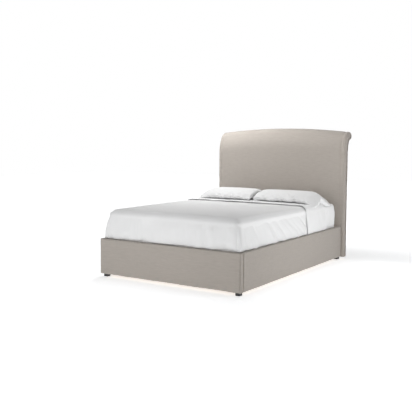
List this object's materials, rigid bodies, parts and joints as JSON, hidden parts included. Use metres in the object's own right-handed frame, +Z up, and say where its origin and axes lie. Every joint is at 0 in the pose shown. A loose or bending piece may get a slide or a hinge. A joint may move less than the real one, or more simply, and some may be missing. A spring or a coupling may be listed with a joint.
{
  "type": "upholstered sleigh bed",
  "caption": "Fabric-covered double bed with a tall arched headboard that scrolls backwards, low padded rails on short feet, mattress, coverlet and pillows.",
  "frame": {"origin": "on the floor, under the centre of the bed's bounding box", "axes": "+X to the right across the bed seen from its foot, +Y from the foot end to the headboard, +Z up"},
  "size_m": [1.506, 2.2148, 1.3458],
  "materials": {
    "upholstery": "matte",
    "upholstery_foam": "matte",
    "pine": "satin",
    "plywood": "matte",
    "beech": "satin",
    "black_plastic": "matte",
    "zinc_steel": "satin",
    "ticking": "matte",
    "spring_pockets": "matte",
    "sheet_cotton": "matte",
    "coverlet_cotton": "matte",
    "pillow_cotton": "matte",
    "pillow_filling": "matte"
  },
  "bodies": {
    "bed_frame": {"side_rail_left_board": "pine", "side_rail_left_pad": "upholstery_foam", "side_rail_left_cover": "upholstery", "side_rail_right_board": "pine", "side_rail_right_pad": "upholstery_foam", "side_rail_right_cover": "upholstery", "foot_rail_board": "pine", "foot_rail_pad": "upholstery_foam", "foot_rail_cover": "upholstery", "headboard_cover_front": "upholstery", "headboard_foam": "upholstery_foam", "headboard_front_ply": "plywood", "headboard_rib_left": "pine", "headboard_rib_right": "pine", "headboard_inner_ribs": "pine", "headboard_bottom_rail": "pine", "headboard_lower_rail": "pine", "headboard_middle_rail": "pine", "headboard_nose_rail": "pine", "headboard_back_board": "plywood", "headboard_cover_back": "upholstery", "headboard_gusset_left": "upholstery", "headboard_gusset_right": "upholstery", "ledger_left": "pine", "ledger_right": "pine", "slats_left": "beech", "slats_right": "beech", "slat_holders_left": "black_plastic", "slat_holders_right": "black_plastic", "slat_holders_centre": "black_plastic", "centre_beam": "pine", "beam_hanger_front": "zinc_steel", "beam_hanger_rear": "zinc_steel", "centre_leg_front": "pine", "centre_leg_rear": "pine", "centre_leg_front_glide": "black_plastic", "centre_leg_rear_glide": "black_plastic", "corner_brackets": "zinc_steel", "bracket_screws": "zinc_steel", "foot_front_left": "black_plastic", "foot_front_right": "black_plastic", "foot_head_left": "black_plastic", "foot_head_right": "black_plastic"},
    "mattress": {"mattress_base_panel": "ticking", "mattress_top_panel": "ticking", "mattress_border": "ticking", "mattress_border_rods": "zinc_steel", "mattress_pocket_springs": "spring_pockets", "fitted_sheet": "sheet_cotton", "coverlet": "coverlet_cotton", "top_sheet": "sheet_cotton"},
    "pillow_left": {"pillow_left_case": "pillow_cotton", "pillow_left_filling": "pillow_filling"},
    "pillow_right": {"pillow_right_case": "pillow_cotton", "pillow_right_filling": "pillow_filling"}
  },
  "joints": [
    {"name": "mattress_lift", "type": "slide", "parent": "bed_frame", "child": "mattress", "axis": [0, 0, 1], "range_m": [0, 0.4]},
    {"name": "pillow_left_lift", "type": "slide", "parent": "mattress", "child": "pillow_left", "axis": [0, 0, 1], "range_m": [0, 0.4]},
    {"name": "pillow_right_lift", "type": "slide", "parent": "mattress", "child": "pillow_right", "axis": [0, 0, 1], "range_m": [0, 0.4]}
  ]
}
